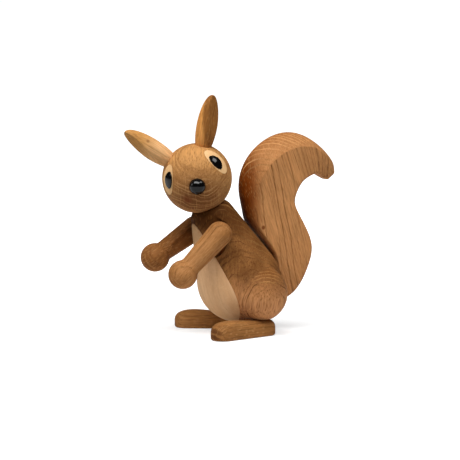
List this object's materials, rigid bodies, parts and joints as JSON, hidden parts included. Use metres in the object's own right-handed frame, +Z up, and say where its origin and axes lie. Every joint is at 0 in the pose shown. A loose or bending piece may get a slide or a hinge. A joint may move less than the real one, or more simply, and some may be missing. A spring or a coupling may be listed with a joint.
{
  "type": "wooden squirrel figurine",
  "caption": "Standing wooden squirrel with a ball head that turns, arms that swing, feet that swivel and a broad upright tail; a shelf ornament that holds the pose it is put in.",
  "frame": {"origin": "on the floor the soles stand on, under the middle of the figure's box", "axes": "+Z up, -Y the way the body and feet face, +X to the animal's left"},
  "size_m": [0.0502, 0.088, 0.0962],
  "materials": {
    "oak": "oiled, satin",
    "maple": "oiled, satin",
    "black_gloss": "polished",
    "beech": "plain"
  },
  "bodies": {
    "trunk": {"torso": "oak", "belly_inlay": "maple", "tail": "oak", "upper_tail_dowel": "beech", "lower_tail_dowel": "beech", "neck_dowel": "beech", "left_foot_dowel": "beech", "right_foot_dowel": "beech"},
    "head": {"head": "oak", "left_eye_surround": "maple", "right_eye_surround": "maple", "left_eye": "black_gloss", "right_eye": "black_gloss", "nose": "black_gloss", "left_ear": "oak", "right_ear": "oak", "left_ear_dowel": "beech", "right_ear_dowel": "beech"},
    "left_arm": {"left_arm": "oak", "left_shoulder_dowel": "beech"},
    "right_arm": {"right_arm": "oak", "right_shoulder_dowel": "beech"},
    "left_foot": {"left_foot": "oak"},
    "right_foot": {"right_foot": "oak"}
  },
  "joints": [
    {"name": "head_turn", "type": "hinge", "parent": "trunk", "child": "head", "pos_m": [0.00207, -0.01622, 0.06289], "axis": [0, -0.3987, 0.9171], "continuous": true},
    {"name": "left_arm_swing", "type": "hinge", "parent": "trunk", "child": "left_arm", "pos_m": [0.01436, -0.01192, 0.04146], "axis": [-0.9877, 0.1564, 0], "range_deg": [-12, 68]},
    {"name": "right_arm_swing", "type": "hinge", "parent": "trunk", "child": "right_arm", "pos_m": [-0.01022, -0.01192, 0.04146], "axis": [-0.9877, -0.1564, 0], "range_deg": [-28, 52]},
    {"name": "left_foot_turn", "type": "hinge", "parent": "trunk", "child": "left_foot", "pos_m": [0.01407, 0.00735, 0], "axis": [0, 0, 1], "range_deg": [-20, 30]},
    {"name": "right_foot_turn", "type": "hinge", "parent": "trunk", "child": "right_foot", "pos_m": [-0.00993, 0.00735, 0], "axis": [0, 0, 1], "range_deg": [-18, 30]}
  ]
}
